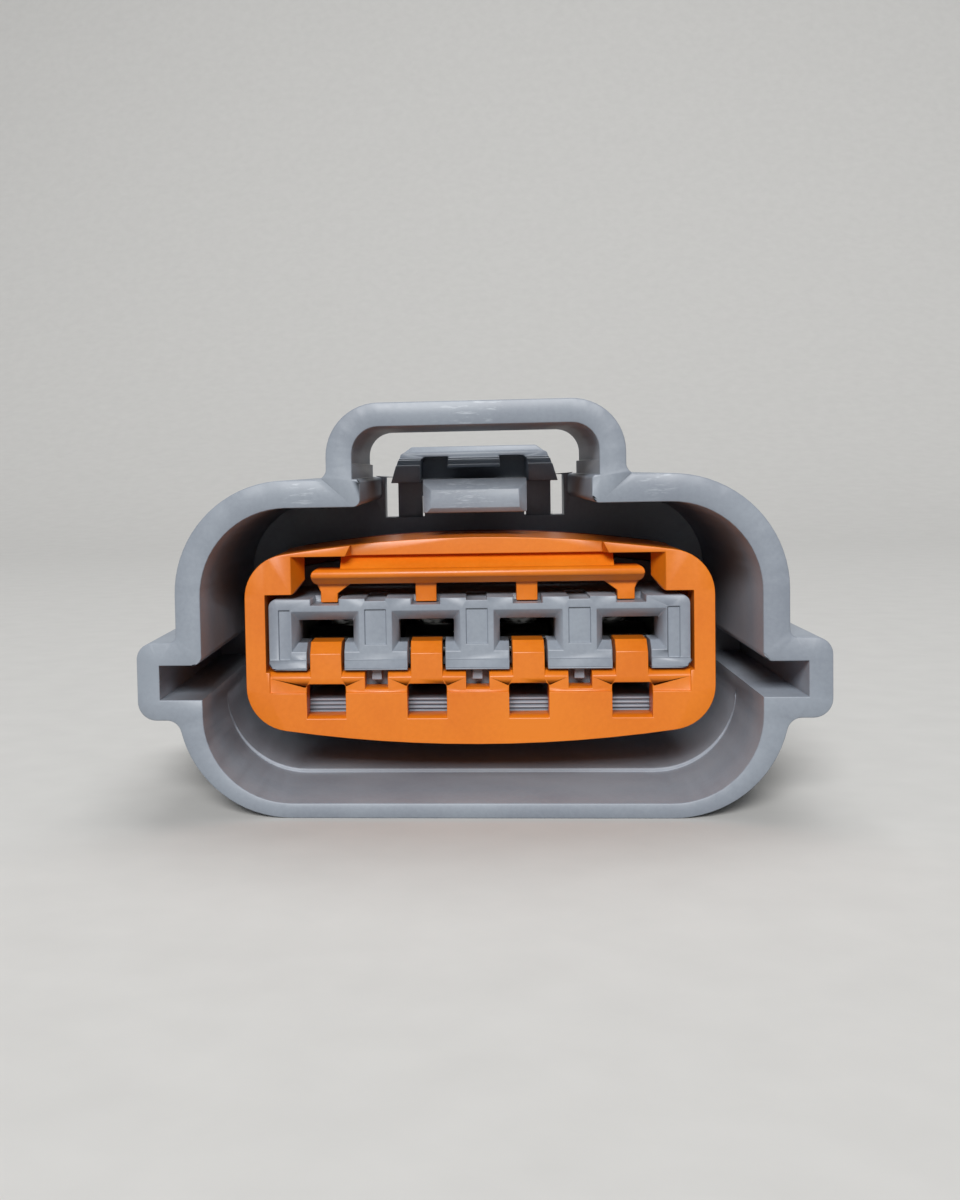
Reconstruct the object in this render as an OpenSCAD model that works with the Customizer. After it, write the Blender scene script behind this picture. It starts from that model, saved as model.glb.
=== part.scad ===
// Four-way sealed socket connector: hooded housing with a rocking latch under a guard arch,
// an orange front holder that locks the contacts, a perimeter seal, four contacts and wire seals.
// x runs along the row of contacts, y from the mating rim to the wire side, z up.

/* [Contact row] */
// Distance between neighbouring contacts
pitch = 5; // [4.6:0.1:5.6]
// Width of a contact's box
box_w = 3.3; // [2.9:0.1:3.4]
// Height of a contact's box
box_h = 2.5; // [2.3:0.1:2.6]
// Length of a contact's box
box_len = 7.5; // [6.5:0.1:8.2]
// Thickness of the contact strip
strip = 0.25; // [0.2:0.01:0.3]
// Gap between a contact's box and its cavity
contact_gap = 0.1; // [0.05:0.01:0.15]

/* [Core] */
// Wall outside the end cavities
end_wall = 1.06; // [0.9:0.02:1.6]
// Wall over the cavities
top_wall = 0.4; // [0.35:0.01:0.8]
// Flange under the cavities at the front
flange = 0.45; // [0.35:0.01:0.7]
// Thickness of the front wall that the blades pass through
front_wall = 2.3; // [2:0.1:2.8]
// Width of a blade window
window_w = 2.75; // [2.5:0.05:2.9]
// Height of a blade window
window_h = 1.13; // [0.8:0.01:1.3]
// Depth of the lead-in round a blade window
lead_in = 0.55; // [0.4:0.05:1]
// Thickness of a locking lance
lance_t = 0.54; // [0.4:0.02:0.6]
// Room under a lance for it to bend into
lance_room = 1.45; // [1.2:0.05:1.6]

/* [Front holder] */
// Distance from the rim back to the holder's face
holder_y = 2.9; // [2:0.1:4]
// Length of the holder
holder_len = 7.6; // [7:0.1:9]
// Side wall of the holder
holder_skin = 1.08; // [0.8:0.02:1.4]
// Height of the holder above the contact row
holder_above = 4.67; // [4.4:0.01:5.2]
// Depth of the holder below the contact row
holder_below = 5.5; // [5.3:0.05:6]
// Radius of the holder's corners
holder_r = 2.2; // [1.8:0.1:2.6]
// Radius of the holder's crowned top and bottom
crown_r = 67; // [50:1:120]
// Thickness of the holder's lower front wall
face_t = 1.4; // [1.2:0.05:1.8]
// Width of a tab under a blade window
tab_w = 1.56; // [1.3:0.02:1.9]
// Width of a service window
service_w = 1.94; // [1.6:0.02:2.2]
// Forward travel from locked to open
holder_travel = 1.8; // [1.6:0.1:2]
// Running gap round the holder's inside
slide_gap = 0.09; // [0.06:0.01:0.15]

/* [Hood] */
// Gap at the sides for the mating shroud
shroud_gap = 1.66; // [1.4:0.02:2]
// Gap over the holder
gap_above = 1.69; // [1.4:0.01:2]
// Gap under the holder
gap_below = 2.23; // [1.8:0.01:2.6]
// Side wall of the hood
hood_wall = 1.22; // [1:0.02:1.6]
// Roof of the hood
roof_wall = 1.31; // [1:0.01:1.6]
// Floor of the hood
floor_wall = 0.72; // [0.6:0.02:1.2]
// Outer corner radius of the hood
hood_r = 5.4; // [4.6:0.1:5.6]
// Depth of the mouth round the core
mouth_depth = 16.2; // [15.5:0.1:18]
// Thickness of the wall behind the mouth
back_wall = 2; // [1.8:0.1:2.6]
// Distance from the rim to the step in the floor
floor_step_y = 6.6; // [5:0.1:8]
// Rise of the step in the floor
floor_step = 0.22; // [0.1:0.02:0.4]

/* [Guide ears] */
// Reach of an ear beyond the hood's side
ear_reach = 1.93; // [1.6:0.01:2.6]
// Outer wall of an ear
ear_wall = 1.09; // [0.9:0.01:1.2]
// Height of an ear's underside above the base
ear_z = 4.72; // [4.4:0.02:5.2]
// Height of the guide channel
channel_h = 1.65; // [1.4:0.05:1.8]
// Floor of the guide channel
channel_floor = 0.99; // [0.8:0.01:1.2]
// Wall of an ear over its channel
channel_roof = 1.1; // [0.8:0.05:1.2]

/* [Guard arch] */
// Width over the arch
arch_w = 13.96; // [13.2:0.02:15]
// Height of the arch above the hood
arch_h = 3.56; // [3.2:0.02:4.4]
// Side wall of the arch
arch_wall = 1.23; // [1:0.01:1.4]
// Thickness of the arch's top
arch_roof = 1.12; // [0.9:0.01:1.4]
// Depth of the arch
arch_depth = 12; // [9:0.5:13]
// Outer corner radius of the arch
arch_r = 2.5; // [2:0.1:2.8]
// Height of the sill inside each wall of the arch
sill_h = 0.7; // [0.5:0.05:1]
// Distance that a sill comes in towards the latch
sill_w = 0.15; // [0.1:0.01:0.2]
// Width of the latch bay cut through the hood's roof
bay_w = 10.8; // [10.4:0.1:11.2]

/* [Latch] */
// Width of the latch's nose
nose_w = 5.2; // [4.8:0.1:5.8]
// Distance from the rim to the nose
nose_y = 4.6; // [3.6:0.1:6]
// Length of the nose
nose_len = 2.4; // [2:0.1:3]
// Length of the press pad
pad_len = 6.5; // [5.5:0.1:7.5]
// Width of the pad's top
pad_w = 8.2; // [7.6:0.1:8.6]
// Slope of each of the pad's wings, in width
wing_flare = 0.68; // [0.3:0.02:0.8]
// Width of one latch leg
leg_w = 1.4; // [1.1:0.05:1.5]
// Radius of the rounded foot that a leg rocks on
foot_r = 0.6; // [0.5:0.02:0.7]
// Gap between a leg's foot and its groove
foot_gap = 0.05; // [0.03:0.01:0.08]

/* [Seals] */
// Depth of the perimeter seal's section
seal_t = 1; // [0.8:0.02:1.2]
// Length of the perimeter seal
seal_len = 3.5; // [3:0.1:3.8]
// Height of the perimeter seal's ribs
seal_rib = 0.3; // [0.2:0.02:0.4]
// Gap left between a seal and what it seats on
seal_gap = 0.02; // [0.01:0.01:0.03]
// Radius of the bore that takes a wire seal
bore_r = 2.15; // [2.1:0.01:2.2]
// Length of a wire seal's ribbed part
plug_len = 5.6; // [4.5:0.1:6.5]
// Radius of the hole that grips the wire
wire_r = 0.85; // [0.6:0.05:1]
// Distance from a wire bore's shoulder to a wire seal's ribs
plug_set = 7.4; // [7:0.1:8]

/* [Wire side] */
// Length of the whole housing
total_len = 33; // [31:0.5:38]
// Wall round the wire bores
bore_wall = 1; // [0.8:0.05:1.3]
// Length of the shoulder behind the hood
shoulder_len = 2.4; // [1.6:0.1:3.5]

/* [Hidden] */
$fn = 64;
ways = 4;
eps = 0.01;
// Overlap that makes two solids of one piece into one
sink = 0.2;

// Places of the contacts, and of the walls between them
function way_x(i) = (i - (ways + 1) / 2) * pitch;
way_xs = [for (i = [1 : ways]) way_x(i)];
wall_xs = [for (i = [1 : ways - 1]) way_x(i) + pitch / 2];

// Heights
axis_z = floor_wall + gap_below + holder_below;
box_z = [axis_z - box_h / 2, axis_z + box_h / 2];
cavity_z = [box_z[0] - contact_gap, box_z[1] + contact_gap];
core_z = [cavity_z[0] - flange, cavity_z[1] + top_wall];
blade_z = axis_z + 0.1;
window_z = [blade_z - window_h / 2, blade_z + window_h / 2];
holder_z = [axis_z - holder_below, axis_z + holder_above];
ceiling_z = holder_z[1] + gap_above;
hood_h = ceiling_z + roof_wall;
lance_z = cavity_z[0] - 0.1;
room_z = lance_z - lance_t - lance_room;
low_z = holder_z[0] + 0.95;
catch_z = [axis_z - 1, axis_z + 1];
channel_z = [ear_z + channel_floor, ear_z + channel_floor + channel_h];
ear_top = channel_z[1] + channel_roof;
platform_z = ceiling_z - 1.1;
foot_z = platform_z + foot_r * 0.35;

// Half widths
cavity_half = box_w / 2 + contact_gap;
core_half = way_x(ways) + cavity_half + end_wall;
holder_half = core_half + slide_gap + holder_skin;
mouth_half = holder_half + shroud_gap;
hood_half = mouth_half + hood_wall;
ear_half = hood_half + ear_reach;
arch_half = arch_w / 2;
bay_half = bay_w / 2;
leg_x = pad_w / 2 + 0.35 - leg_w / 2;
lance_half = 0.95;
catch_out = holder_skin * 0.6;

// Depths from the rim
core_y = holder_y + 0.12;
cavity_y = core_y + front_wall;
box_y = cavity_y + contact_gap;
box_end = box_y + box_len;
bore_y = box_end + 0.6;
holder_end = holder_y + holder_len;
seal_y = holder_end + 0.3;
shoulder_y = seal_y + seal_len + seal_gap;
hood_depth = mouth_depth + back_wall;
block_y = hood_depth + shoulder_len;
pivot_y = mouth_depth + back_wall / 2;
low_y = holder_y + face_t + 0.15;
tip_y = cavity_y + 0.9;
root_y = box_end - 0.5;
nub_y = [tip_y + 1, tip_y + 2.2];
catch_y = [holder_y + 3.6, holder_y + 4.5];
plug_y = bore_y + plug_set;

// ---- helpers ----

// Extrudes an outline drawn in x and z from depth y0 to y1
module along_y(y0, y1) {
    translate([0, y1, 0]) rotate([90, 0, 0]) linear_extrude(y1 - y0) children();
}

// Extrudes a side profile drawn in y and z over the width from x0 to x1
module along_x(x0, x1) {
    translate([x0, 0, 0]) rotate([90, 0, 90]) linear_extrude(x1 - x0) children();
}

// Extrudes a plan drawn in x and y from height z0 to z1
module along_z(z0, z1) {
    translate([0, 0, z0]) linear_extrude(z1 - z0) children();
}

// A box between two limits on each axis
module slab(x, y, z) {
    translate([x[0], y[0], z[0]]) cube([x[1] - x[0], y[1] - y[0], z[1] - z[0]]);
}

module both_sides() {
    children();
    mirror([1, 0, 0]) children();
}

module at_each(xs) {
    for (x = xs) translate([x, 0, 0]) children();
}

// A rectangle whose lower and upper corners have their own radii
module soft_panel(half, z, r_low, r_top) {
    height = z[1] - z[0];
    translate([-half, z[0] + r_low]) square([2 * half, height - r_low - r_top]);
    translate([-half + r_low, z[0]]) square([2 * (half - r_low), height - r_top]);
    translate([-half + r_top, z[0] + r_low]) square([2 * (half - r_top), height - r_low]);
    both_sides() {
        translate([half - r_low, z[0] + r_low]) circle(r_low);
        translate([half - r_top, z[1] - r_top]) circle(r_top);
    }
}

// A rectangle with four corners of one radius
module rounded_panel(half, z, r) {
    soft_panel(half, z, r, r);
}

// Fills an inner corner at the origin with a concave fillet that opens to +x and +z
module cove(r) {
    difference() {
        translate([-sink, -sink]) square(r + sink);
        translate([r, r]) circle(r);
    }
}

// Height of a corner's centre above the centre of the crown arc that it runs into
function crown_rise(r) = sqrt(pow(crown_r - r, 2) - pow(holder_half - r, 2));

// The piece of a crowned outline between its corner centres and the crown arc
module crown_cap(r, inset) {
    cx = holder_half - r;
    dz = crown_rise(r);
    reach = (crown_r + 1) / (crown_r - r);
    translate([0, -dz]) intersection() {
        circle(crown_r - inset, $fn = 1440);
        polygon([[-cx, dz - sink], [-cx, dz], reach * [-cx, dz],
                 reach * [cx, dz], [cx, dz], [cx, dz - sink]]);
    }
}

// The holder's crowned outline, moved inwards by inset
module crowned_outline(inset) {
    r = holder_r;
    cx = holder_half - r;
    rise = crown_r - crown_rise(r);
    top = holder_z[1] - rise;
    bottom = holder_z[0] + rise;
    translate([0, top]) crown_cap(r, inset);
    translate([0, bottom]) mirror([0, 1]) crown_cap(r, inset);
    translate([-holder_half + inset, bottom]) square([2 * (holder_half - inset), top - bottom]);
    for (x = [-cx, cx], z = [bottom, top]) translate([x, z]) circle(r - inset);
}

// ---- housing ----

// Fillet from an ear's underside into the lower curve of the hood's side
module ear_fillet() {
    r = 0.7;
    curve_x = hood_half - hood_r;
    drop = hood_r - ear_z + r;
    run = sqrt(pow(hood_r + r, 2) - pow(drop, 2));
    inner = 0.95 * hood_r / (hood_r + r);
    difference() {
        polygon([[curve_x + inner * run, ear_z + sink], [curve_x + run, ear_z + sink],
                 [curve_x + run, ear_z - r], [curve_x + inner * run, hood_r - inner * drop]]);
        translate([curve_x + run, ear_z - r]) circle(r);
    }
}

module ear_outline() {
    r_low = 0.9;
    r_top = 0.8;
    root = hood_half - hood_wall / 2;
    intersection() {
        soft_panel(ear_half, [ear_z, ear_top], r_low, r_top);
        translate([root, ear_z]) square([ear_half - root, ear_top - ear_z]);
    }
    translate([hood_half, ear_top]) cove(0.35);
    ear_fillet();
}

module hood_outline() {
    rounded_panel(hood_half, [0, hood_h], hood_r);
    both_sides() ear_outline();
}

module mouth_outline(floor_z) {
    rounded_panel(mouth_half, [floor_z, ceiling_z], hood_r - hood_wall);
}

// The guide channels inside the ears, with their upper corners to the mouth rounded
module channel_outline() {
    both_sides() {
        translate([mouth_half - sink, channel_z[0]])
            square([ear_half - ear_wall - mouth_half + sink, channel_h]);
        translate([mouth_half, channel_z[1]]) cove(0.45);
    }
}

// The cut through the roof, and lower through the back wall, that the latch works in
module latch_bay() {
    slab([-bay_half, bay_half], [-eps, mouth_depth], [axis_z, hood_h + 1]);
    slab([-bay_half + 0.2, bay_half - 0.2], [mouth_depth, hood_depth + eps],
         [platform_z, hood_h + 1]);
    along_y(-eps, mouth_depth) both_sides() {
        translate([bay_half, ceiling_z]) cove(0.35);
        translate([bay_half, hood_h]) mirror([0, 1]) cove(0.2);
    }
}

module hood() {
    difference() {
        along_y(0, hood_depth) hood_outline();
        along_y(-eps, floor_step_y) mouth_outline(floor_wall);
        along_y(floor_step_y - eps, mouth_depth) mouth_outline(floor_wall + floor_step);
        along_y(-eps, mouth_depth) channel_outline();
        latch_bay();
    }
    // rib between the latch's legs, clear below its arm
    rib = leg_x - leg_w / 2 - foot_gap - 0.1;
    slab([-rib, rib], [mouth_depth, hood_depth], [platform_z - sink, ceiling_z - 0.3]);
}

module arch_outline(half, top, r, foot) {
    intersection() {
        rounded_panel(half, [foot - 2 * r, top], r);
        translate([-half, foot]) square([2 * half, top - foot]);
    }
}

// The guard over the latch, with a sill inside each wall that comes in behind the front edge
module arch() {
    top = hood_h + arch_h;
    inner = arch_half - arch_wall;
    along_y(0, arch_depth) {
        difference() {
            arch_outline(arch_half, top, arch_r, hood_h - sink);
            arch_outline(inner, top - arch_roof, arch_r - arch_wall, hood_h - 1);
        }
        both_sides() translate([arch_half, hood_h]) cove(0.5);
    }
    along_z(hood_h - sink, hood_h + sill_h) both_sides()
        polygon([[inner + sink, 0], [inner, 0], [inner - sill_w, 4.5],
                 [inner - sill_w, arch_depth], [inner + sink, arch_depth]]);
}

seat_inset = seal_t + seal_gap + 0.1;
flange_step = 0.5;

// The core's front, whose flange comes forward in two low steps
module core_front() {
    r = 0.4;
    along_y(core_y, cavity_y + 1) rounded_panel(core_half, core_z, r);
    for (i = [0, 1])
        along_y(core_y - 0.06 * (i + 1), core_y + sink) intersection() {
            rounded_panel(core_half, core_z, r);
            translate([-core_half, core_z[0]]) square([2 * core_half, flange_step - 0.4 * i]);
        }
}

// Core: the front, the part inside the holder, and the seat of the perimeter seal
module core() {
    core_front();
    difference() {
        along_y(low_y, holder_end + 0.1 + sink) rounded_panel(core_half, [low_z, core_z[1]], 0.4);
        along_x(-core_half - 1, core_half + 1) ribbed_profile();
    }
    along_y(holder_end + 0.1, mouth_depth + sink) crowned_outline(seat_inset);
    along_y(shoulder_y, mouth_depth + sink) crowned_outline(0.35);
    both_sides() side_catch();
    at_each(wall_xs)
        slab([-0.25, 0.25], [core_y + 0.5, core_y + 1.3], [core_z[0] - 0.57, core_z[0] + sink]);
}

// Fine grooves across the front of the core's lower wall
module ribbed_profile() {
    for (i = [1 : 4])
        translate([low_y - 1, room_z - 0.21 * i]) square([1.12, 0.09]);
}

// A catch on the core's side that runs in the holder's side slot: a ramp in front, a stop behind
module side_catch() {
    along_z(catch_z[0], catch_z[1])
        polygon([[core_half - sink, catch_y[0]], [core_half + 0.1, catch_y[0]],
                 [core_half + catch_out, catch_y[1] - 0.3], [core_half + catch_out, catch_y[1]],
                 [core_half - sink, catch_y[1]]]);
}

notch_z = core_z[1] - 0.32;

// The relief on the core's front face: panels between the windows and at the ends, and notches
// along the top, one for each of the holder's feet and one between each two
module front_relief() {
    panel_top = window_z[1] + 0.54;
    front = core_y - eps;
    at_each(wall_xs) {
        slab([-0.52, 0.52], [front, core_y + 0.12], [cavity_z[0] + 0.8, panel_top]);
        slab([-0.5, 0.5], [front, low_y + 2], [core_z[1] - 0.12, core_z[1] + 1]);
    }
    both_sides()
        slab([core_half - 1.05, core_half - 0.5], [front, core_y + 0.12],
             [core_z[0] + flange_step, panel_top]);
    at_each(way_xs)
        slab([-0.7, 0.7], [front, core_y + 2.1], [notch_z, core_z[1] + 1]);
}

// Blade window with a lead-in on all four sides, and the slot for the holder's tab below it
module blade_window() {
    side = 0.31;
    over = 0.47;
    under = 0.43;
    half = window_w / 2;
    slot = tab_w / 2 + 0.15;
    slab([-half, half], [core_y, cavity_y + eps], window_z);
    intersection() {
        along_z(core_z[0], core_z[1])
            polygon([[-half - side, core_y - eps], [half + side, core_y - eps],
                     [half, core_y + lead_in], [-half, core_y + lead_in]]);
        along_x(-half - side, half + side)
            polygon([[core_y - eps, window_z[0] - under], [core_y - eps, window_z[1] + over],
                     [core_y + lead_in, window_z[1]], [core_y + lead_in, window_z[0]]]);
    }
    slab([-slot, slot], [core_y - 1, cavity_y + eps], [core_z[0] - 1, window_z[0]]);
}

// Cavity for one contact, the room under its lance and its wire bore
module cavity() {
    room = lance_half + 0.3;
    blade_window();
    slab([-cavity_half, cavity_half], [cavity_y, bore_y + eps], cavity_z);
    slab([-room, room], [cavity_y, root_y], [room_z, cavity_z[0] + eps]);
    slab([-room, room], [low_y - 1, cavity_y + eps], [room_z, core_z[0]]);
    along_y(bore_y, total_len + 1) translate([0, axis_z]) circle(bore_r);
}

// Springy lance whose step holds the contact by the edge of its bottom window
module lance() {
    low = lance_z - lance_t;
    nub_top = box_z[0] + strip;
    root = 0.8;
    along_x(-lance_half, lance_half)
        polygon([[root_y + sink, low - root / 2], [root_y + sink, cavity_z[0]],
                 [root_y - 0.6, lance_z], [nub_y[1], lance_z], [nub_y[0] + 0.4, nub_top],
                 [nub_y[0], nub_top], [nub_y[0], lance_z], [tip_y, lance_z - 0.1],
                 [tip_y, low], [root_y - root, low]]);
}

// Wire side: shoulder and four joined sleeves round the wire bores, with webs between them
module wire_block() {
    sleeve_r = bore_r + bore_wall;
    web = 0.5;
    along_y(hood_depth - sink, block_y) crowned_outline(0.8);
    along_y(block_y - sink, total_len) {
        at_each(way_xs) translate([0, axis_z]) circle(sleeve_r);
        translate([way_x(1), axis_z - sleeve_r + web])
            square([way_x(ways) - way_x(1), 2 * (sleeve_r - web)]);
    }
    along_y(total_len - 1.4, total_len)
        at_each(way_xs) translate([0, axis_z]) circle(sleeve_r + 0.35);
    at_each(wall_xs) along_x(-web, web)
        polygon([[block_y - sink, axis_z - sleeve_r - 0.9], [block_y - sink, axis_z + sleeve_r + 0.9],
                 [block_y + 4, axis_z + sleeve_r - 0.6], [block_y + 4, axis_z - sleeve_r + 0.6]]);
}

module foot_groove() {
    rotate([0, 90, 0])
        cylinder(r = foot_r + foot_gap, h = leg_w + 2 * foot_gap + 0.2, center = true);
}

module housing() {
    color("lightslategray") {
        difference() {
            union() {
                hood();
                arch();
                core();
                wire_block();
            }
            front_relief();
            at_each(way_xs) cavity();
            both_sides() translate([leg_x, pivot_y, foot_z]) foot_groove();
        }
        at_each(way_xs) lance();
    }
}

// ---- latch ----

nose_z = [ceiling_z - 0.5, hood_h - 0.12];
beam_z = [ceiling_z + 0.14, hood_h - 0.22];
pad_y = pivot_y - 2.2;
pad_z = [ceiling_z + 0.93, ceiling_z + 3.02];
ridge = 0.62;
// Heights of the grip ridges over the pad's base
ridge_zs = [1, 1.3, 1.42, 1.74, 2.09];

// Side profile of the press pad, with grip ridges that climb towards the wire side
module pad_profile() {
    rear = pad_y + pad_len;
    climb = [for (i = [0 : len(ridge_zs) - 1], k = [0, 1])
        [pad_y + ridge * (i + k), pad_z[0] + ridge_zs[i] + 0.02 * k]];
    polygon(concat([[pad_y, pad_z[0]]], climb, [[rear, pad_z[0] + 1.85], [rear, pad_z[0]]]));
}

// Front outline of the pad: a flat top with two wings that slope outwards
module pad_outline() {
    r = 0.45;
    top = pad_w / 2;
    foot = top + wing_flare;
    shoulder = top + wing_flare * 0.28;
    polygon([[-foot, pad_z[0]], [foot, pad_z[0]], [shoulder, pad_z[1] - r],
             [top - r, pad_z[1] + eps], [-top + r, pad_z[1] + eps], [-shoulder, pad_z[1] - r]]);
}

// The dark mouth under the pad's top, with a tab left hanging in its middle
module pad_mouth() {
    r = 0.35;
    half = (pad_w - 2) / 2;
    roof = pad_z[0] + 1.5;
    along_y(pad_y - 1, pad_y + pad_len - 2.2) difference() {
        union() {
            translate([-half + r, beam_z[1]]) square([2 * (half - r), roof - beam_z[1]]);
            translate([-half, beam_z[1]]) square([2 * half, roof - r - beam_z[1]]);
            for (x = [-half + r, half - r]) translate([x, roof - r]) circle(r);
        }
        translate([-1.5, pad_z[0] + 0.84]) square([3, 1]);
    }
    slab([-half, half], [pad_y - 1, pad_y + 1.4], [pad_z[0] - 1, beam_z[1] + eps]);
}

module nose() {
    edge = 0.4;
    half = nose_w / 2;
    rear = nose_y + nose_len;
    intersection() {
        along_x(-half, half)
            polygon([[nose_y, nose_z[0] + 0.25], [nose_y, nose_z[0] + 1.15],
                     [nose_y + 0.6, nose_z[1]], [rear, nose_z[1]], [rear, nose_z[0]],
                     [nose_y + 0.25, nose_z[0]]]);
        along_z(nose_z[0] - 1, nose_z[1] + 1)
            polygon([[-half + edge, nose_y - eps], [half - edge, nose_y - eps],
                     [half, nose_y + edge], [half, rear], [-half, rear], [-half, nose_y + edge]]);
    }
}

module latch_arm() {
    beam_half = nose_w / 2 - 0.2;
    color("lightsteelblue") {
        nose();
        slab([-beam_half, beam_half], [nose_y + nose_len - sink, pad_y + pad_len - 1], beam_z);
        difference() {
            intersection() {
                along_x(-pad_w, pad_w) pad_profile();
                along_y(pad_y - 1, pad_y + pad_len + 1) pad_outline();
            }
            pad_mouth();
        }
        slab([-leg_x - leg_w / 2, leg_x + leg_w / 2], [pivot_y - foot_r, pivot_y + foot_r],
             [beam_z[0], pad_z[0] + sink]);
        both_sides() translate([leg_x, pivot_y, 0]) {
            slab([-leg_w / 2, leg_w / 2], [-foot_r, foot_r], [foot_z, pad_z[0] + sink]);
            translate([0, 0, foot_z]) rotate([0, 90, 0])
                cylinder(r = foot_r, h = leg_w, center = true);
        }
    }
}

// ---- front holder ----

opening_z = [core_z[0] - slide_gap, core_z[1] + 0.23];
inside_z = [low_z - slide_gap, holder_z[1] - 0.82];
block_x = way_x(ways) + 1.1;
lip_x = block_x - 2.15;
bar_z = [core_z[1] + 0.68, core_z[1] + 1.44];
bar_y = holder_y + 0.3;
service_z = [axis_z - 4.08, axis_z - 2.5];
// Depth of the shallow band across the holder's face
band = 0.1;

// The window that the core's front looks through, and the mouth above it round the cross bar
module face_opening() {
    half = core_half + slide_gap + 0.07;
    low = opening_z[1];
    high = inside_z[1];
    foot = block_x + 0.5;
    slab([-half, half], [holder_y - 1, holder_y + face_t + eps], opening_z);
    along_y(holder_y - 1, holder_y + face_t + eps)
        polygon([[-foot, low - sink], [foot, low - sink], [foot, low], [block_x, low + 0.65],
                 [block_x, high], [-block_x, high], [-block_x, low + 0.65], [-foot, low]]);
    // the blocks beside the mouth splay out towards the front
    along_z(low, high)
        polygon([[-block_x - 0.55, holder_y - eps], [block_x + 0.55, holder_y - eps],
                 [block_x, holder_y + 1.2], [-block_x, holder_y + 1.2]]);
}

// The middle of the top wall, set back between the two lips, whose ends lean over it
module set_back() {
    splay = 0.25;
    depth = 0.85;
    z = [inside_z[1] - 0.05, holder_z[1] + 1];
    lean = 0.5 * (z[1] - z[0]);
    intersection() {
        along_z(z[0], z[1])
            polygon([[-lip_x, holder_y - eps], [lip_x, holder_y - eps],
                     [lip_x - splay, holder_y + depth], [-lip_x + splay, holder_y + depth]]);
        along_y(holder_y - 1, holder_y + depth + 1)
            polygon([[-lip_x, z[0]], [lip_x, z[0]], [lip_x - lean, z[1]], [-lip_x + lean, z[1]]]);
    }
}

// Service window with rounded upper corners and a low sloping sill
module service_window() {
    half = service_w / 2;
    r = 0.15;
    height = service_z[1] - service_z[0];
    sill_z = service_z[0] - 0.13;
    along_y(holder_y - 1, holder_y + face_t + 1) translate([0, service_z[0]]) {
        translate([-half, 0]) square([2 * half, height - r]);
        translate([-half + r, 0]) square([2 * (half - r), height]);
        for (x = [-half + r, half - r]) translate([x, height - r]) circle(r);
    }
    along_x(-half, half)
        polygon([[holder_y - 1, sill_z], [holder_y, sill_z], [holder_y + 0.5, service_z[0]],
                 [holder_y + 0.5, service_z[0] + sink], [holder_y - 1, service_z[0] + sink]]);
}

// Chamfer along the top of the lower front wall, the shallow band under it, and the gaps with
// sloping sills between the tabs
module face_relief() {
    top = opening_z[0];
    gap_sill = [core_z[0] - 1.02, core_z[0] - 0.89];
    along_x(-core_half, core_half)
        polygon([[holder_y - 1, axis_z - 2.92], [holder_y + band, axis_z - 2.92],
                 [holder_y + band, top - 0.27], [holder_y + band + 0.25, top], [holder_y - 1, top]]);
    at_each(wall_xs) along_x(-0.57, 0.57)
        polygon([[holder_y - 1, gap_sill[0]], [holder_y, gap_sill[0]],
                 [holder_y + 0.4, gap_sill[1]], [holder_y + face_t + 1, gap_sill[1]],
                 [holder_y + face_t + 1, top], [holder_y - 1, top]]);
}

// Tab under a blade window, which fills the slot that the tool for the cavity leaves
module tab() {
    front = holder_y + band;
    rear = cavity_y - 0.15;
    top = window_z[0] + 0.03;
    foot = service_z[1] + 0.15;
    along_x(-tab_w / 2, tab_w / 2)
        polygon([[front, foot], [front, top - lead_in], [front + lead_in, top], [rear, top],
                 [rear, core_z[0] - 0.05], [holder_y + face_t - sink, foot]]);
}

// Finger that blocks the lance while the holder is locked, and clears it once the holder is
// forward
module finger() {
    high = lance_z - lance_t - 0.08;
    low = service_z[1] + 0.1;
    rear = tip_y + holder_travel - 0.3;
    root = holder_y + face_t - sink;
    half = lance_half - 0.05;
    along_x(-half, half)
        polygon([[root, low], [rear - 0.3, low], [rear, low + 0.15], [rear, high - 0.1],
                 [rear - 0.1, high], [root, high]]);
}

// Bar with a rounded nose across the mouth, which hangs from the top wall between the lips
module cross_bar() {
    half = way_x(ways) + 0.68;
    r = 0.25;
    rear = holder_y + face_t + 0.6;
    web = lip_x + 0.3;
    web_y = holder_y + 1.35;
    intersection() {
        along_x(-half, half) {
            translate([bar_y + r, bar_z[1] - r]) circle(r);
            polygon([[bar_y + r, bar_z[1]], [bar_y + 0.05, bar_z[1] - 0.4],
                     [bar_y + 0.5, bar_z[0]], [rear, bar_z[0]], [rear, bar_z[1]]]);
        }
        along_y(bar_y - 1, rear + 1) rounded_panel(half, bar_z, 0.3);
    }
    along_x(-web, web)
        polygon([[bar_y + 0.35, bar_z[1] - sink], [bar_y + 0.35, bar_z[1]],
                 [web_y, inside_z[1]], [web_y, inside_z[1] + sink],
                 [rear, inside_z[1] + sink], [rear, bar_z[1] - sink]]);
}

// The bar's feet, set back under it, which drop into the notches of the core's top
module feet() {
    depth = [holder_y + 1.1, holder_y + 1.9];
    low = notch_z + 0.06;
    high = bar_z[0] + sink;
    at_each([for (i = [2 : ways - 1]) way_x(i)]) slab([-0.52, 0.52], depth, [low, high]);
    // the end feet are funnels that narrow towards their notch
    both_sides() translate([way_x(ways), 0, 0]) along_y(depth[0], depth[1])
        polygon([[-1.25, high], [-1.25, bar_z[0]], [-0.57, bar_z[0] - 0.5], [-0.57, low],
                 [0.28, low], [0.28, bar_z[0] - 0.4], [0.5, bar_z[0]], [0.5, high]]);
}

module side_slot() {
    slab([core_half, holder_half + 1],
         [catch_y[0] - slide_gap, catch_y[1] + holder_travel + slide_gap],
         [catch_z[0] - slide_gap, catch_z[1] + slide_gap]);
}

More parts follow.
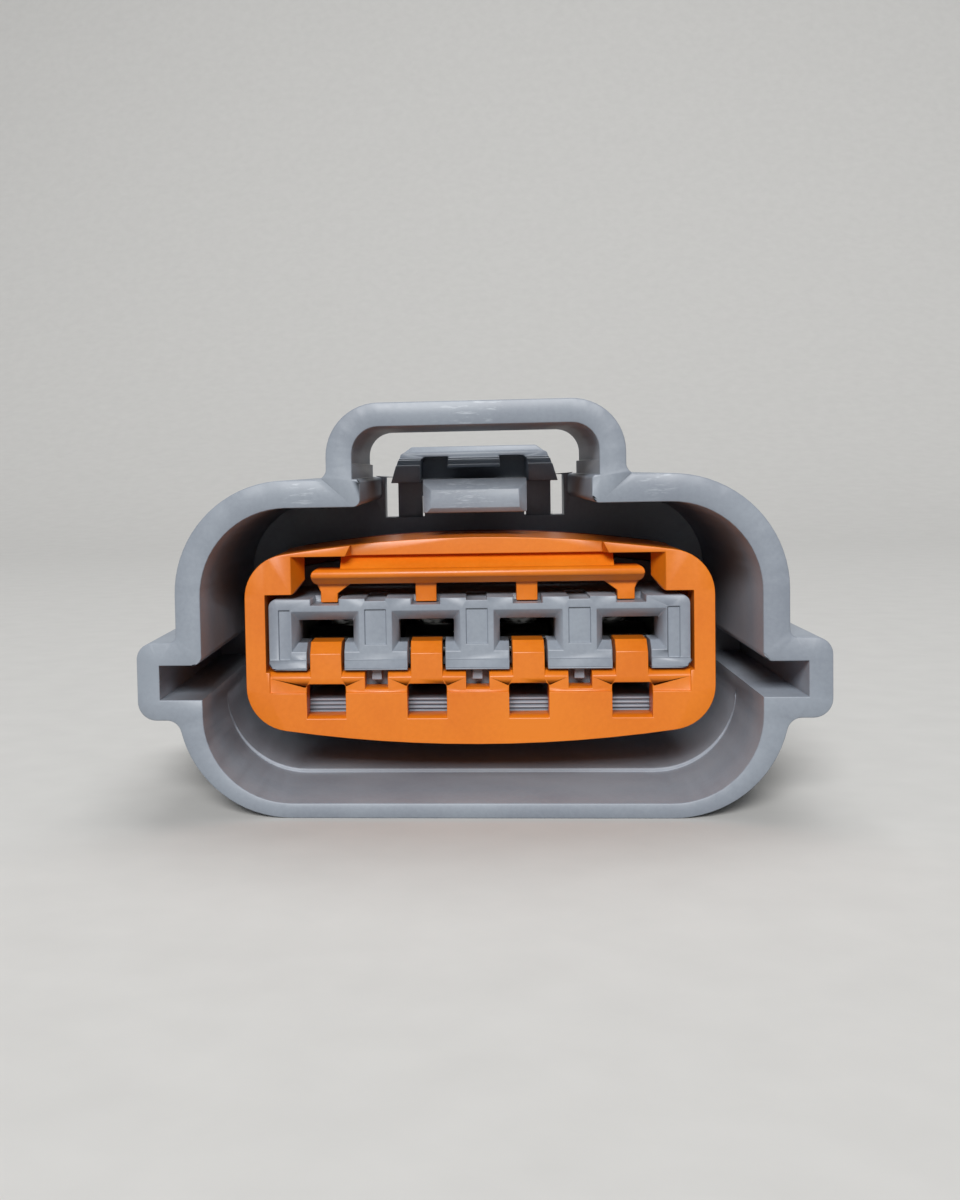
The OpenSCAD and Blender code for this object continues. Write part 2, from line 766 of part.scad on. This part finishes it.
module front_holder() {
    color("darkorange") {
        difference() {
            along_y(holder_y, holder_end) crowned_outline(0);
            along_y(holder_y + face_t, holder_end + 1)
                rounded_panel(core_half + slide_gap, inside_z, 0.4);
            face_opening();
            set_back();
            face_relief();
            at_each(way_xs) service_window();
            both_sides() side_slot();
        }
        at_each(way_xs) {
            tab();
            finger();
        }
        cross_bar();
        feet();
    }
}

// ---- seals ----

module perimeter_seal() {
    ribs = 3;
    step = seal_len / ribs;
    color("firebrick") difference() {
        union() {
            along_y(seal_y, seal_y + seal_len) crowned_outline(0.1 + seal_rib);
            for (i = [0 : ribs - 1])
                along_y(seal_y + step * (i + 0.22), seal_y + step * (i + 0.78)) crowned_outline(0.1);
        }
        along_y(seal_y - 1, seal_y + seal_len + 1) crowned_outline(seat_inset - seal_gap);
    }
}

neck_r = 1.3;
neck_len = 2.6;
neck_y = plug_y - neck_len;
module wire_seal(i) {
    lips = 3;
    step = plug_len / lips;
    color("steelblue") translate([way_x(i), 0, axis_z]) rotate([-90, 0, 0]) difference() {
        union() {
            translate([0, 0, neck_y]) cylinder(r = neck_r, h = plug_len + neck_len);
            translate([0, 0, plug_y]) cylinder(r = bore_r - 0.4, h = plug_len);
            for (k = [0 : lips - 1])
                translate([0, 0, plug_y + step * (k + 0.25)])
                    cylinder(r = bore_r - seal_gap, h = step * 0.5);
        }
        translate([0, 0, neck_y - 1]) cylinder(r = wire_r, h = plug_len + neck_len + 2);
    }
}

// ---- contacts ----

// Half the height of the way that the box leaves for a blade
blade_half = 0.3;

module contact_box() {
    half = box_w / 2;
    inner = [box_z[0] + strip, box_z[1] - strip];
    difference() {
        slab([-half, half], [box_y, box_end], box_z);
        slab([-half + strip, half - strip], [box_y - 1, box_end + 1], inner);
        slab([-lance_half - 0.1, lance_half + 0.1], [nub_y[0] - 0.1, nub_y[1] + 0.1],
             [box_z[0] - 1, inner[0] + eps]);
    }
    // boss pressed down from the roof, which the blade slides under
    along_x(-0.8, 0.8)
        polygon([[box_y + 0.5, inner[1] + eps], [box_y + 1.3, blade_z + blade_half],
                 [box_end - 2.3, blade_z + blade_half], [box_end - 1.5, inner[1] + eps]]);
    along_x(-half + strip + 0.2, half - strip - 0.2) blade_spring(inner[0]);
}

// Spring tongue that presses the blade up against the boss
module blade_spring(low) {
    top = blade_z - blade_half;
    leaf = strip * 0.8;
    polygon([[box_end - 0.8, low - eps], [box_end - 1.2, low + 0.25], [box_y + 3, top - leaf],
             [box_y + 1.2, low + 0.2], [box_y + 1, low + 0.2 + leaf], [box_y + 3, top],
             [box_end - 1, low + strip + 0.25], [box_end - 0.4, low - eps]]);
}

// A bent strip whose underside follows the given points
module bend(low) {
    high = [for (i = [len(low) - 1 : -1 : 0]) low[i] + [0, strip]];
    polygon(concat(low, high));
}

// A crimp barrel round the wire axis, with a narrow seam on top
module barrel(y0, y1, r) {
    along_y(y0, y1) translate([0, axis_z]) difference() {
        circle(r + strip);
        circle(r);
        translate([-0.15, 0]) square([0.3, r + 1]);
    }
}

module contact(i) {
    crimp_r = 0.9;
    barrel_y = box_end + 1.1;
    wire_low = axis_z - crimp_r - strip;
    neck_low = axis_z - neck_r - seal_gap - strip;
    color("gainsboro") translate([way_x(i), 0, 0]) {
        contact_box();
        // floor strip from the box through both barrels
        along_x(-0.5, 0.5)
            bend([[box_end - 1, box_z[0]], [box_end, box_z[0]], [barrel_y - 0.2, wire_low],
                  [neck_y - 0.6, wire_low], [neck_y - 0.1, neck_low], [neck_y + 0.3, neck_low]]);
        barrel(barrel_y, barrel_y + 2.7, crimp_r);
        barrel(neck_y + 0.1, neck_y + 2, neck_r + seal_gap);
    }
}

// The part stands on the hood's floor, centred on its length
module in_place() {
    translate([0, -total_len / 2, 0]) children();
}

in_place() housing();
in_place() latch_arm();
in_place() front_holder();
in_place() perimeter_seal();
in_place() contact(1);  // contact_1
in_place() contact(2);  // contact_2
in_place() contact(3);  // contact_3
in_place() contact(4);  // contact_4
in_place() wire_seal(1);  // wire_seal_1
in_place() wire_seal(2);  // wire_seal_2
in_place() wire_seal(3);  // wire_seal_3
in_place() wire_seal(4);  // wire_seal_4
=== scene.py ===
"""A four-way sealed socket connector: grey-blue moulded housing with a rocking latch, orange front
holder, red perimeter seal, tinned contacts and wire seals, lying on a pale sweep."""

import math

import bmesh
import bpy
from mathutils import Matrix, Vector


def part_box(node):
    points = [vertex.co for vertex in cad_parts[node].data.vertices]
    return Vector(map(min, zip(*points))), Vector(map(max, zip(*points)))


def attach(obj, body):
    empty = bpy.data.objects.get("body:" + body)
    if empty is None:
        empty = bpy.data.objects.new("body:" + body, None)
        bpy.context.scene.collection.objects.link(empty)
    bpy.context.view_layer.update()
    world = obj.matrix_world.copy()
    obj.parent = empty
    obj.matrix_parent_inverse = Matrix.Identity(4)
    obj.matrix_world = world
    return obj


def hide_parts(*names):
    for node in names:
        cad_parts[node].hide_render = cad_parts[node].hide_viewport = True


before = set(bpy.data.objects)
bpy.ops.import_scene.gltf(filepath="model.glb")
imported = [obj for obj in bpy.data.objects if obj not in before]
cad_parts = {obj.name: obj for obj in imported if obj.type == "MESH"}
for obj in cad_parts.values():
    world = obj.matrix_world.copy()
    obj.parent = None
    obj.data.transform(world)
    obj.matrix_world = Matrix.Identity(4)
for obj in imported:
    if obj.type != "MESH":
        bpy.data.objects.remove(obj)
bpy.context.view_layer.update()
MM = 0.001
RIM_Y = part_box("housing")[0].y


def at(x, y, z):
    """A point given in mm across, back from the mating rim and up from the floor."""
    return Vector((x * MM, RIM_Y + y * MM, z * MM))


# ---- materials ----


def linear(code):
    """Turns an sRGB hex colour into the linear RGBA that the sockets take."""
    channels = [int(code[i:i + 2], 16) / 255 for i in (1, 3, 5)]
    return [c / 12.92 if c <= 0.04045 else ((c + 0.055) / 1.055) ** 2.4 for c in channels] + [1.0]


def add(tree, kind, inputs=None, **settings):
    """Adds a node, sets its properties, and fills or links its inputs."""
    made = tree.nodes.new(kind)
    for key, value in settings.items():
        setattr(made, key, value)
    for key, value in (inputs or {}).items():
        if isinstance(value, bpy.types.NodeSocket):
            tree.links.new(value, made.inputs[key])
        else:
            made.inputs[key].default_value = value
    return made


def per_mm(size):
    """Pattern scale for a feature of this size in mm."""
    return 1 / (size * MM)


def surface(name, **shader_inputs):
    """A new material with its tree, its shader and the piece's own coordinates."""
    material = bpy.data.materials.new(name)
    material.use_nodes = True
    tree = material.node_tree
    tree.nodes.clear()
    output = add(tree, "ShaderNodeOutputMaterial")
    shader = add(tree, "ShaderNodeBsdfPrincipled", shader_inputs)
    tree.links.new(shader.outputs["BSDF"], output.inputs["Surface"])
    place = add(tree, "ShaderNodeTexCoord").outputs["Object"]
    return material, tree, shader, place


def scuffs(tree, place, worn):
    """How scuffed a point is: fine scratches across x, only near the worn places, each of which
    is a centre and its reach in mm."""
    reach = 0.0
    for centre, size in worn:
        away = add(tree, "ShaderNodeVectorMath", {0: place, 1: centre}, operation="DISTANCE")
        near = add(tree, "ShaderNodeMapRange",
                   {"Value": away.outputs["Value"], "From Min": 0.5 * size * MM,
                    "From Max": size * MM, "To Min": 1.0, "To Max": 0.0})
        reach = add(tree, "ShaderNodeMath", {0: reach, 1: near.outputs["Result"]},
                    operation="MAXIMUM").outputs[0]
    drawn = add(tree, "ShaderNodeMapping", {"Vector": place, "Rotation": (0.0, 0.12, 0.0),
                                            "Scale": (0.16, 1.0, 1.0)})
    marks = add(tree, "ShaderNodeTexNoise",
                {"Vector": drawn.outputs["Vector"], "Scale": per_mm(0.16), "Detail": 3.0,
                 "Roughness": 0.65})
    cut = add(tree, "ShaderNodeMapRange",
              {"Value": marks.outputs["Fac"], "From Min": 0.55, "From Max": 0.68})
    return add(tree, "ShaderNodeMath", {0: cut.outputs["Result"], 1: reach},
               operation="MULTIPLY").outputs[0]


def moulded(name, body, shade, ior, rough, worn=(), scuff="#ffffff"):
    """An injection-moulded surface: slow drifts of colour from the melt's flow, a spark-eroded
    grain of about 0.05 mm and slightly uneven gloss. Handling leaves fine pale scuffs at the
    worn places."""
    material, tree, shader, place = surface(name, IOR=ior)
    drift = add(tree, "ShaderNodeTexNoise",
                {"Vector": place, "Scale": per_mm(5), "Detail": 3.0, "Roughness": 0.55})
    speck = add(tree, "ShaderNodeTexNoise",
                {"Vector": place, "Scale": per_mm(0.22), "Detail": 2.0, "Roughness": 0.6})
    blend = add(tree, "ShaderNodeMath", {0: drift.outputs["Fac"], 1: 0.7}, operation="MULTIPLY")
    total = add(tree, "ShaderNodeMath", {0: speck.outputs["Fac"], 1: 0.3, 2: blend.outputs[0]},
                operation="MULTIPLY_ADD")
    colour = add(tree, "ShaderNodeValToRGB", {"Fac": total.outputs[0]})
    colour.color_ramp.elements[0].position = 0.36
    colour.color_ramp.elements[0].color = linear(shade)
    colour.color_ramp.elements[1].position = 0.62
    colour.color_ramp.elements[1].color = linear(body)
    shown = colour.outputs["Color"]
    if worn:
        shown = add(tree, "ShaderNodeMix", {0: scuffs(tree, place, worn), 6: shown,
                                            7: linear(scuff)}, data_type="RGBA").outputs[2]
    tree.links.new(shown, shader.inputs["Base Color"])
    gloss = add(tree, "ShaderNodeMapRange",
                {"Value": speck.outputs["Fac"], "To Min": rough - 0.06, "To Max": rough + 0.08})
    tree.links.new(gloss.outputs["Result"], shader.inputs["Roughness"])
    grain = add(tree, "ShaderNodeTexNoise",
                {"Vector": place, "Scale": per_mm(0.09), "Detail": 2.0, "Roughness": 0.5})
    bump = add(tree, "ShaderNodeBump",
               {"Height": grain.outputs["Fac"], "Distance": 0.004 * MM, "Strength": 0.6})
    tree.links.new(bump.outputs["Normal"], shader.inputs["Normal"])
    return material


# Glass-filled polyester, moulded: cool satin grey, a little lighter where glass lies at the skin,
# scuffed on the latch's nose, the top of the guard and the bay's corners
scuffed_places = [(at(0, 4.6, 15.6), 2.2), (at(0, 0, 19.4), 2.2), (at(-8.2, 0, 15.8), 1.4),
                  (at(8.4, 0, 15.9), 1.1)]
housing_plastic = moulded("moulded_polyester_grey", "#98a0aa", "#8b929d", 1.57, 0.42,
                          scuffed_places, "#b3bac2")
# Unfilled polyester, moulded: saturated orange with a soft gloss
holder_plastic = moulded("moulded_polyester_orange", "#ee8216", "#e4760e", 1.57, 0.36)
# Silicone, moulded: dull brick red
seal_rubber = moulded("moulded_silicone_red", "#8a2d1c", "#7a2416", 1.43, 0.55)
# Silicone, moulded: dull grey-blue
plug_rubber = moulded("moulded_silicone_blue", "#5c7f9c", "#527590", 1.43, 0.55)


def tinned():
    """Copper alloy strip, tin plated then stamped: soft white metal with fine rolling lines."""
    material, tree, shader, place = surface("tin_plated_strip", Metallic=1.0)
    stretched = add(tree, "ShaderNodeMapping", {"Vector": place, "Scale": (1.0, 0.06, 1.0)})
    lines = add(tree, "ShaderNodeTexNoise",
                {"Vector": stretched.outputs["Vector"], "Scale": per_mm(0.06), "Detail": 2.0})
    colour = add(tree, "ShaderNodeValToRGB", {"Fac": lines.outputs["Fac"]})
    colour.color_ramp.elements[0].color = linear("#8f8f8c")
    colour.color_ramp.elements[1].color = linear("#b2b2ae")
    tree.links.new(colour.outputs["Color"], shader.inputs["Base Color"])
    gloss = add(tree, "ShaderNodeMapRange",
                {"Value": lines.outputs["Fac"], "To Min": 0.34, "To Max": 0.52})
    tree.links.new(gloss.outputs["Result"], shader.inputs["Roughness"])
    return material


tinned_strip = tinned()

# ---- pieces ----


def softened(node, name, body, material, edge, weighted=False):
    """A merged copy of a CAD node with its edges rounded, which stands for the node. Weighted
    shading keeps a face flat where shallow slopes start from it."""
    shape = bmesh.new()
    shape.from_mesh(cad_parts[node].data)
    bmesh.ops.remove_doubles(shape, verts=shape.verts, dist=0.002 * MM)
    for face in shape.faces:
        face.smooth = True
    mesh = bpy.data.meshes.new(name)
    shape.to_mesh(mesh)
    shape.free()
    piece = bpy.data.objects.new(name, mesh)
    bpy.context.scene.collection.objects.link(piece)
    mesh.materials.clear()
    mesh.materials.append(material)
    rounding = piece.modifiers.new("edges", "BEVEL")
    rounding.width = edge * MM
    rounding.segments = 2
    rounding.limit_method = "ANGLE"
    rounding.angle_limit = math.radians(32)
    rounding.use_clamp_overlap = False
    rounding.harden_normals = not weighted
    if weighted:
        piece.modifiers.new("flat_faces", "WEIGHTED_NORMAL").keep_sharp = True
    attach(piece, body)
    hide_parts(node)
    return piece


softened("housing", "housing_moulding", "housing_body", housing_plastic, 0.05)
softened("latch_arm", "latch_moulding", "latch_body", housing_plastic, 0.05)
softened("front_holder", "holder_moulding", "holder_body", holder_plastic, 0.04,
         weighted=True)
softened("perimeter_seal", "seal_ring", "housing_body", seal_rubber, 0.08)
for way in (1, 2, 3, 4):
    softened(f"contact_{way}", f"contact_strip_{way}", "housing_body",
             tinned_strip, 0.02)
    softened(f"wire_seal_{way}", f"wire_seal_rubber_{way}", "housing_body",
             plug_rubber, 0.08)

# ---- floor, light and camera ----


def sweep():
    """A pale floor that curves up into a backdrop."""
    shape = bmesh.new()
    half, front, back, rise, radius = 1.0, -0.9, 0.55, 0.8, 0.35
    profile = [(front, 0.0), (back - radius, 0.0)]
    for i in range(1, 13):
        turn = i / 12 * math.pi / 2
        profile.append((back - radius + radius * math.sin(turn), radius - radius * math.cos(turn)))
    profile.append((back, rise))
    row = [shape.verts.new((-half, y, z)) for y, z in profile]
    edges = [shape.edges.new(pair) for pair in zip(row, row[1:])]
    grown = bmesh.ops.extrude_edge_only(shape, edges=edges)
    moved = [v for v in grown["geom"] if isinstance(v, bmesh.types.BMVert)]
    bmesh.ops.translate(shape, verts=moved, vec=(2 * half, 0, 0))
    bmesh.ops.recalc_face_normals(shape, faces=shape.faces)
    mesh = bpy.data.meshes.new("floor_sweep")
    shape.to_mesh(mesh)
    shape.free()
    for face in mesh.polygons:
        face.use_smooth = True
    floor = bpy.data.objects.new("floor_sweep", mesh)
    bpy.context.scene.collection.objects.link(floor)
    material, tree, shader, place = surface("matt_card", Roughness=0.9)
    fibre = add(tree, "ShaderNodeTexNoise", {"Vector": place, "Scale": per_mm(3), "Detail": 4.0})
    pale = add(tree, "ShaderNodeValToRGB", {"Fac": fibre.outputs["Fac"]})
    pale.color_ramp.elements[0].color = linear("#d3d2cf")
    pale.color_ramp.elements[1].color = linear("#dddcd9")
    # seen directly, in a reflection or through a gap the card is pale; it sends little light back
    path = add(tree, "ShaderNodeLightPath")
    seen = path.outputs["Is Camera Ray"]
    for kind in ("Is Glossy Ray", "Is Transmission Ray"):
        seen = add(tree, "ShaderNodeMath", {0: seen, 1: path.outputs[kind]},
                   operation="MAXIMUM").outputs[0]
    card = add(tree, "ShaderNodeMix", {0: seen, 6: linear("#5a5956"), 7: pale.outputs["Color"]},
               data_type="RGBA")
    tree.links.new(card.outputs[2], shader.inputs["Base Color"])
    mesh.materials.append(material)


sweep()


def lamp(name, place, target, size, power):
    """A soft rectangular light at a place in metres, turned towards its target."""
    light = bpy.data.lights.new(name, "AREA")
    light.shape = "RECTANGLE"
    light.size, light.size_y = size
    light.energy = power
    made = bpy.data.objects.new(name, light)
    bpy.context.scene.collection.objects.link(made)
    made.location = place
    made.rotation_euler = (Vector(target) - Vector(place)).to_track_quat("-Z", "Y").to_euler()


lamp("key_softbox", (-0.06, -0.7, 0.39), (0, 0, 0.01), (0.32, 0.24), 5.8)
lamp("top_softbox", (0.1, 0.3, 0.8), (0, 0, 0.01), (0.7, 0.5), 3.2)

world = bpy.data.worlds.new("studio")
bpy.context.scene.world = world
world.use_nodes = True
background = world.node_tree.nodes["Background"]
background.inputs["Color"].default_value = linear("#e6e9ee")
background.inputs["Strength"].default_value = 0.16


def aim_camera():
    """The camera stands close in front, a little above the hood, turned and rolled slightly."""
    yaw, pitch, roll = (math.radians(a) for a in (4.83, -3.03, -1.15))
    forward = Vector((-math.sin(yaw) * math.cos(pitch), math.cos(yaw) * math.cos(pitch),
                      math.sin(pitch)))
    right = Vector((math.cos(yaw), math.sin(yaw), 0))
    up = right.cross(forward)
    tilted_right = right * math.cos(roll) + up * math.sin(roll)
    tilted_up = up * math.cos(roll) - right * math.sin(roll)
    camera = bpy.data.cameras.new("camera")
    camera.sensor_width = 36.0
    camera.lens = 41.09
    camera.shift_x = 0.1038
    camera.shift_y = -0.0481
    camera.clip_start = 0.005
    seen = bpy.data.objects.new("camera", camera)
    bpy.context.scene.collection.objects.link(seen)
    turn = Matrix((tilted_right, tilted_up, -forward)).transposed()
    seen.matrix_world = Matrix.Translation(at(-0.224, -64.153, 16.561)) @ turn.to_4x4()
    bpy.context.scene.camera = seen


aim_camera()
bpy.context.scene.view_settings.view_transform = "Standard"
